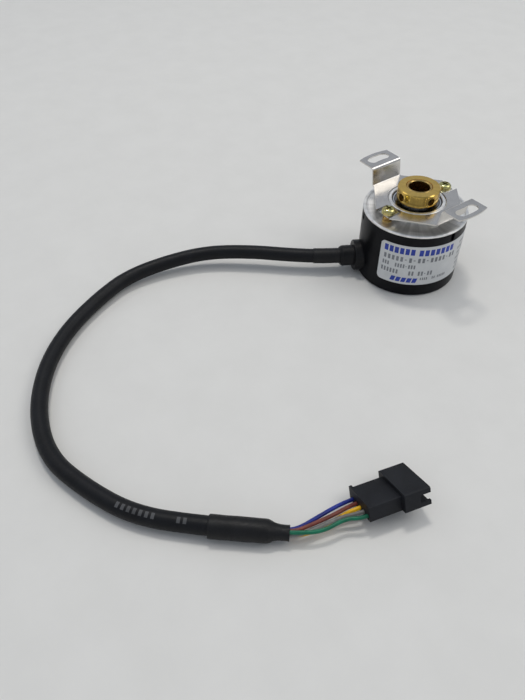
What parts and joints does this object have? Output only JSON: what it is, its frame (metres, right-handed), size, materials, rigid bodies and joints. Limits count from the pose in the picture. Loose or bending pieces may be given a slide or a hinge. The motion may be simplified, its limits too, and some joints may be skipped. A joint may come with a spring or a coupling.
{
  "type": "rotary encoder",
  "caption": "Round through-shaft rotary encoder with a clamp collar, a raised slotted spring bracket and a side cable that ends in a small free plug.",
  "frame": {"origin": "centre of the encoder's underside, on the shaft axis", "axes": "+Z along the shaft from the closed-looking cover towards the clamp collar and bracket, +X towards one slotted bracket tab; the cable leaves on the -Y side, at 240 degrees round from +X"},
  "size_m": [0.1464, 0.1804, 0.0384],
  "materials": {
    "cover_black": "satin black",
    "turned_aluminium": "fine turned",
    "gasket_rubber": "matte",
    "label_film": "silver film, satin",
    "stainless_sheet": "bright rolled stainless sheet",
    "brass": "turned",
    "zinc_screws": "yellow zinc plated",
    "shaft_brass": "turned and bored",
    "black_steel": "black oxide",
    "spring_steel": "phosphated",
    "bearing_steel": "ground",
    "ball_steel": "polished",
    "cage_steel": "pressed",
    "shield_steel": "pressed sheet",
    "disc_steel": "etched foil",
    "board_laminate": "green solder mask",
    "black_plastic": "moulded",
    "lamp_epoxy": "dark clear epoxy",
    "chip_plastic": "moulded epoxy",
    "mask_glass": "etched chrome on glass",
    "ceramic": "fired ceramic",
    "white_plastic": "moulded nylon",
    "inner_insulation": "extruded",
    "gland_metal": "black plated",
    "boot_rubber": "matte",
    "cable_jacket": "extruded PVC",
    "shrink_tube": "heat shrink",
    "core_blue": "extruded",
    "core_brown": "extruded",
    "core_yellow": "extruded",
    "core_grey": "extruded",
    "core_green": "extruded",
    "connector_plastic": "moulded nylon",
    "contact_tin": "tin plated"
  },
  "bodies": {
    "housing": {"rear_cover": "cover_black", "front_flange": "turned_aluminium", "cover_gasket": "gasket_rubber", "type_label": "label_film", "mounting_bracket": "stainless_sheet", "bracket_spacers": "brass", "bracket_screws": "zinc_screws", "front_bearing_outer_race": "bearing_steel", "front_bearing_shields": "shield_steel", "rear_bearing_outer_race": "bearing_steel", "rear_bearing_shields": "shield_steel", "circuit_board": "board_laminate", "board_posts": "brass", "board_screws": "zinc_screws", "lamp_holder": "black_plastic", "infrared_lamp": "lamp_epoxy", "detector_array": "chip_plastic", "mask_plate": "mask_glass", "signal_chip": "chip_plastic", "board_passives": "ceramic", "board_socket": "white_plastic", "inner_leads": "inner_insulation", "gland_body": "gland_metal", "gland_nut": "gland_metal", "cable_boot": "boot_rubber", "cable": "cable_jacket", "end_sleeve": "shrink_tube", "blue_core": "core_blue", "brown_core": "core_brown", "yellow_core": "core_yellow", "grey_core": "core_grey", "green_core": "core_green", "connector_hood": "connector_plastic", "connector_base": "connector_plastic", "connector_contacts": "contact_tin"},
    "rotor": {"hollow_shaft": "shaft_brass", "clamp_collar": "brass", "collar_set_screws": "black_steel", "retaining_ring": "spring_steel", "front_bearing_inner_race": "bearing_steel", "rear_bearing_inner_race": "bearing_steel", "bearing_spacer": "turned_aluminium", "disc_hub": "turned_aluminium", "code_disc": "disc_steel", "disc_clamp_ring": "turned_aluminium"},
    "front_ball_set": {"front_bearing_balls": "ball_steel", "front_bearing_cage": "cage_steel"},
    "rear_ball_set": {"rear_bearing_balls": "ball_steel", "rear_bearing_cage": "cage_steel"}
  },
  "joints": [
    {"name": "shaft_spin", "type": "hinge", "parent": "housing", "child": "rotor", "pos_m": [0, 0, 0.0187], "axis": [0, 0, 1], "continuous": true},
    {"name": "front_ball_orbit", "type": "hinge", "parent": "housing", "child": "front_ball_set", "pos_m": [0, 0, 0.0284], "axis": [0, 0, 1], "continuous": true},
    {"name": "rear_ball_orbit", "type": "hinge", "parent": "housing", "child": "rear_ball_set", "pos_m": [0, 0, 0.0204], "axis": [0, 0, 1], "continuous": true}
  ],
  "couplings": [
    {"joint": "front_ball_orbit", "follows": "shaft_spin", "ratio": 0.4172},
    {"joint": "rear_ball_orbit", "follows": "shaft_spin", "ratio": 0.4172}
  ]
}
